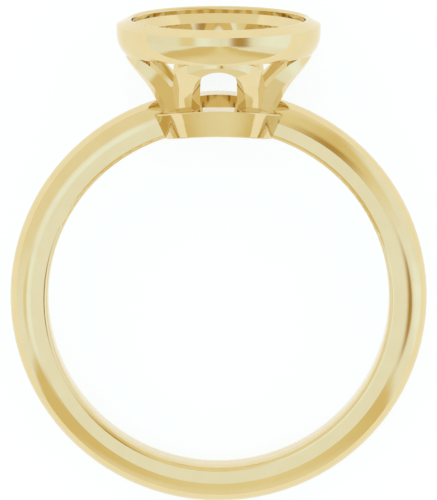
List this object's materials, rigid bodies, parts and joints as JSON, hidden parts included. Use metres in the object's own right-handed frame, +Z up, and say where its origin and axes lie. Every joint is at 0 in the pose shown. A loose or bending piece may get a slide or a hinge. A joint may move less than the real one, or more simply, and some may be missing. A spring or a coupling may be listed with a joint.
{
  "type": "bezel engagement ring mounting",
  "caption": "Yellow gold bezel ring mounting without its stone: open cup on a flared gallery of arches, tapered collar and half-round band.",
  "frame": {"origin": "on the surface that the ring lies on, under the middle of its bounding box", "axes": "+Z up from the surface, +Y along the ring from the band towards the head, +X across the finger hole; the finger hole's axis leans 10.1 degrees from +Z, because the ring rests on the far edge of its band and on the bezel"},
  "size_m": [0.0212, 0.0254, 0.0103],
  "materials": {
    "gold": "mirror polished 14-karat yellow gold"
  },
  "bodies": {
    "root": {"ring": "gold"}
  },
  "joints": []
}
